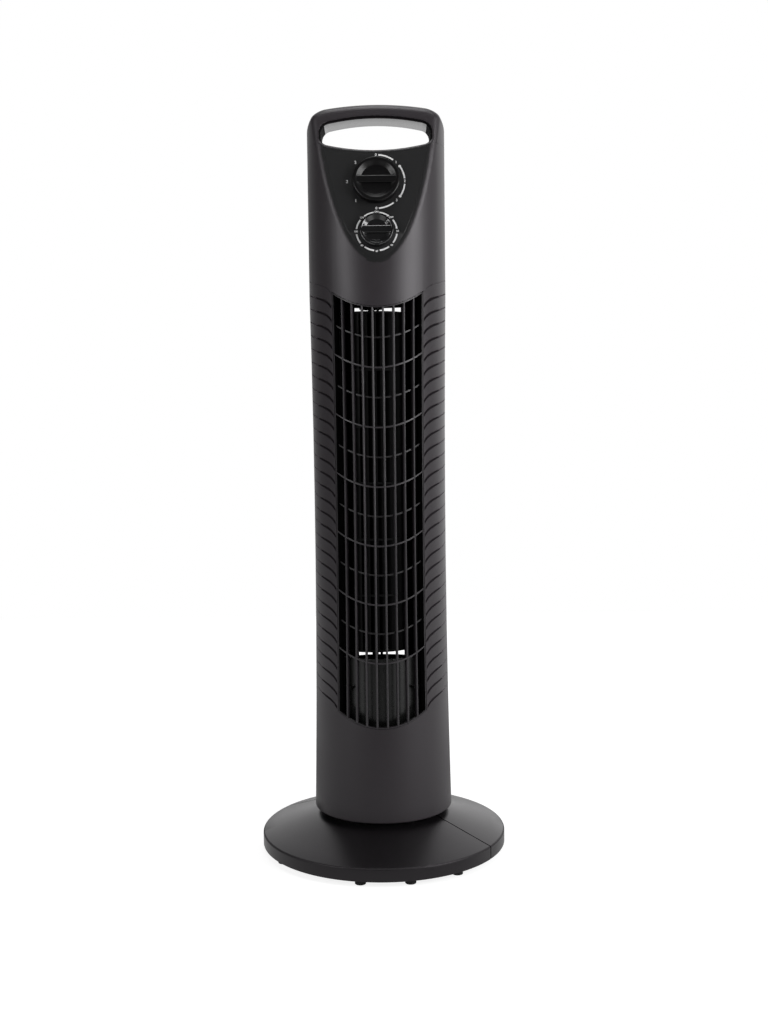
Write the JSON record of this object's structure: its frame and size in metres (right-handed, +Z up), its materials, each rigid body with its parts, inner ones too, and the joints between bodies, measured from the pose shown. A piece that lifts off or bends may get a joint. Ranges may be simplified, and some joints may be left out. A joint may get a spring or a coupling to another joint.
{
  "type": "tower fan",
  "caption": "Upright tower fan: waisted column with front grille, gilled flanks, tilted two-knob panel and carrying hoop, swivelling on a round conical base.",
  "frame": {"origin": "centre of the round base on the floor plane under the feet", "axes": "+Z up along the column's axis; the outlet grille and the control panel face -Y; +X is to the right seen from the front"},
  "size_m": [0.269, 0.269, 0.8045],
  "materials": {
    "base_plastic": "fine moulded texture, charcoal",
    "blower_plastic": "plain moulded black",
    "bronze": "sintered bearing metal",
    "cast_alloy": "die cast",
    "inner_plastic": "plain moulded black",
    "knob_plastic": "polished black",
    "panel_plastic": "smooth black",
    "rubber": "matt black",
    "screw_steel": "black oxide",
    "shell_plastic": "fine moulded texture, charcoal",
    "stator_steel": "varnished laminations",
    "steel": "bright drawn",
    "white_plastic": "plain moulded white",
    "winding": "varnished copper wire"
  },
  "bodies": {
    "base": {"base_front_half": "base_plastic", "base_rear_half": "base_plastic", "base_feet": "rubber", "base_neck": "inner_plastic", "neck_screws": "screw_steel", "swivel_bush": "white_plastic", "thrust_ring": "white_plastic", "cord_gland": "rubber"},
    "column": {"front_shell": "shell_plastic", "hoop_front": "shell_plastic", "rear_shell": "shell_plastic", "handle_rear_cover": "shell_plastic", "front_grille": "shell_plastic", "control_panel": "panel_plastic", "column_floor": "inner_plastic", "column_floor_screws": "screw_steel", "swivel_retainer": "inner_plastic", "retainer_screws": "screw_steel", "oscillation_motor": "cast_alloy", "oscillation_motor_screws": "screw_steel", "capacitor": "white_plastic", "terminal_block": "white_plastic", "wiring_loom": "rubber", "motor_lower_bracket": "cast_alloy", "motor_stator": "stator_steel", "motor_windings": "winding", "motor_upper_bracket": "cast_alloy", "motor_bearings": "bronze", "motor_mount_grommets": "rubber", "motor_screws": "screw_steel", "motor_cover": "inner_plastic", "upper_bearing_bush": "bronze", "upper_bearing_rubber": "rubber", "duct_top_plate": "inner_plastic", "volute_wall": "inner_plastic", "stabiliser_wall": "inner_plastic", "speed_switch": "white_plastic", "timer_unit": "white_plastic", "control_nuts": "steel", "shell_screws": "screw_steel", "handle_cover_screws": "screw_steel"},
    "blower": {"blower_wheel": "blower_plastic", "hub_set_screw": "screw_steel", "blower_top_shaft": "steel", "motor_shaft": "steel", "motor_rotor": "stator_steel"},
    "speed_control": {"speed_knob": "knob_plastic", "speed_spindle": "steel"},
    "timer_control": {"timer_knob": "knob_plastic", "timer_spindle": "steel"},
    "crank": {"oscillation_crank": "white_plastic", "oscillation_shaft": "steel"}
  },
  "joints": [
    {"name": "column_swivel", "type": "hinge", "parent": "base", "child": "column", "pos_m": [0, 0, 0.048], "axis": [0, 0, 1], "range_deg": [-30, 30]},
    {"name": "blower_spin", "type": "hinge", "parent": "column", "child": "blower", "pos_m": [-0.007, 0, 0.4], "axis": [0, 0, 1], "continuous": true},
    {"name": "speed_knob_turn", "type": "hinge", "parent": "column", "child": "speed_control", "pos_m": [0, -0.05184, 0.71931], "axis": [0, 0.9681, -0.2504], "continuous": true},
    {"name": "timer_knob_turn", "type": "hinge", "parent": "column", "child": "timer_control", "pos_m": [0, -0.06564, 0.66596], "axis": [0, 0.9681, -0.2504], "range_deg": [0, 315]},
    {"name": "crank_turn", "type": "hinge", "parent": "column", "child": "crank", "pos_m": [0, 0.03605, 0.04], "axis": [0, 0, 1], "range_deg": [-101, 101]}
  ],
  "couplings": [
    {"joint": "crank_turn", "follows": "column_swivel", "ratio": -3.35}
  ]
}
